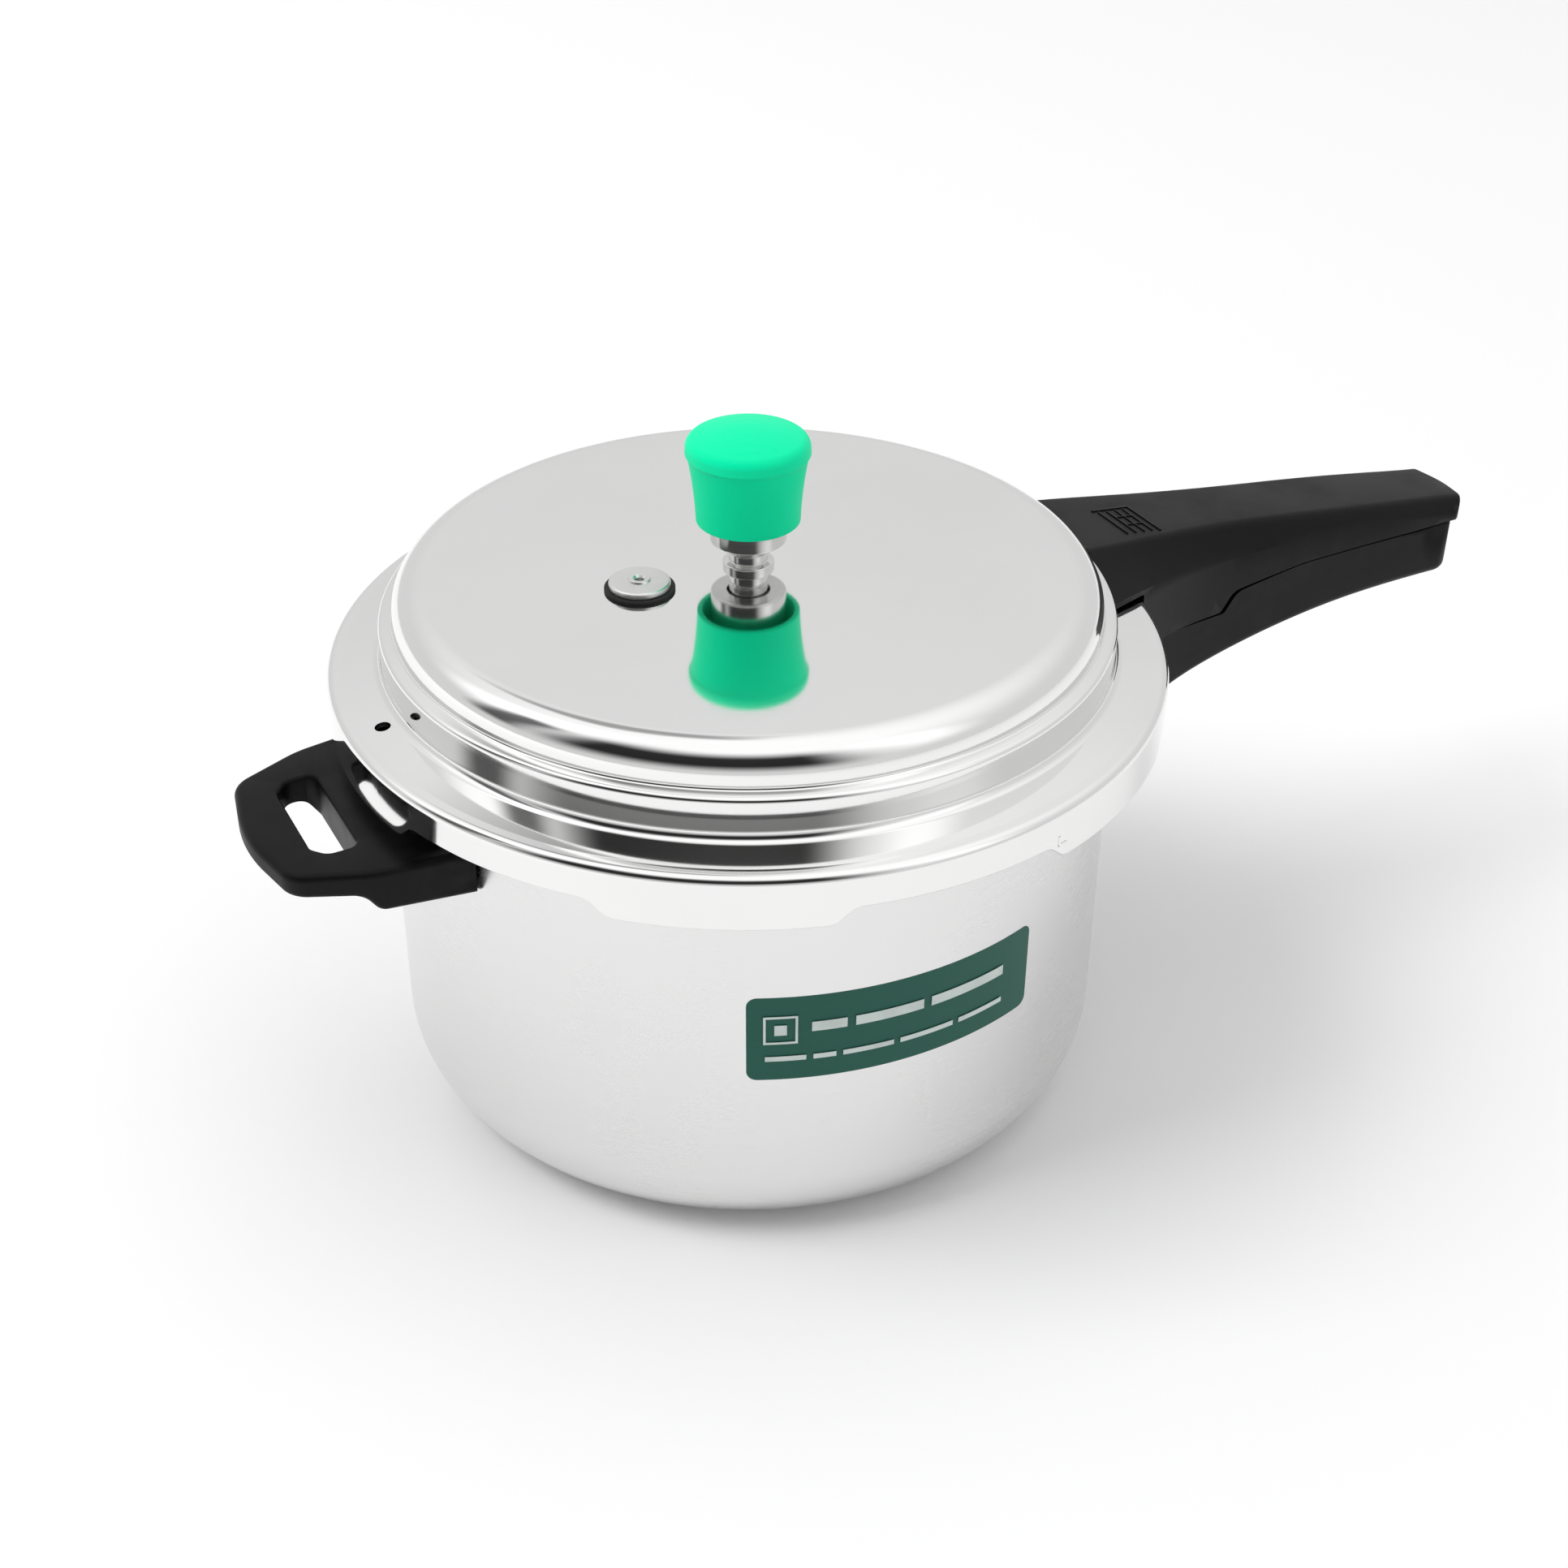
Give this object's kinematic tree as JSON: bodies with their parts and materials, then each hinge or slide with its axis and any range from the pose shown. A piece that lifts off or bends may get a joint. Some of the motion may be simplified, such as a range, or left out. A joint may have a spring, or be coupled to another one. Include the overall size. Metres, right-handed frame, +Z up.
{
  "type": "stovetop pressure cooker",
  "caption": "Round steel pressure cooker with a turn-on outer lid, a two-part long handle, a helper loop handle, a safety valve and a green-capped weight on the vent pipe.",
  "frame": {"origin": "middle of the pot's flat base, where it rests on the stove", "axes": "+Z up along the pot's axis, +X along the long handle, helper handle towards -X"},
  "size_m": [0.4253, 0.2506, 0.21],
  "materials": {
    "pot_steel": "satin polished stainless steel",
    "lid_steel": "mirror polished stainless steel",
    "bracket_steel": "plain pressed stainless steel",
    "fitting_steel": "turned and polished steel",
    "screw_steel": "zinc plated steel",
    "handle_black": "moulded black phenolic, fine satin texture",
    "weight_green": "moulded green heat-resistant plastic",
    "plate_green": "printed dark green name plate with a pale border line",
    "seal_rubber": "black silicone rubber",
    "insert_brass": "turned brass",
    "fusible_alloy": "dull soft metal"
  },
  "bodies": {
    "pot": {"pot_body": "pot_steel", "name_plate": "plate_green", "long_handle_bracket": "bracket_steel", "lower_handle": "handle_black", "lower_handle_washer": "screw_steel", "lower_handle_screw": "screw_steel", "lower_handle_nut": "screw_steel", "helper_bracket": "bracket_steel", "helper_handle": "handle_black", "helper_handle_washer": "screw_steel", "helper_handle_screw": "screw_steel", "helper_handle_nut": "screw_steel"},
    "gasket_ring": {"gasket": "seal_rubber"},
    "lid": {"lid_shell": "lid_steel", "lid_bracket": "bracket_steel", "upper_handle": "handle_black", "upper_handle_screws": "screw_steel", "upper_handle_washers": "screw_steel", "upper_handle_inserts": "insert_brass", "vent_pipe": "fitting_steel", "vent_pipe_washer": "fitting_steel", "vent_pipe_nut": "fitting_steel", "safety_valve_seal": "seal_rubber", "safety_valve": "fitting_steel", "fusible_plug": "fusible_alloy", "safety_valve_washer": "fitting_steel", "safety_valve_nut": "fitting_steel"},
    "weight": {"weight_core": "fitting_steel", "weight_pin": "fitting_steel", "weight_ring": "bracket_steel", "weight_cap": "weight_green"}
  },
  "joints": [
    {"name": "lid_lift", "type": "slide", "parent": "pot", "child": "gasket_ring", "axis": [0, 0, 1], "range_m": [0, 0.24]},
    {"name": "lid_turn", "type": "hinge", "parent": "gasket_ring", "child": "lid", "pos_m": [0, 0, 0.14], "axis": [0, 0, 1], "range_deg": [0, 30]},
    {"name": "weight_lift", "type": "slide", "parent": "lid", "child": "weight", "axis": [0, 0, 1], "range_m": [0, 0.035]}
  ]
}
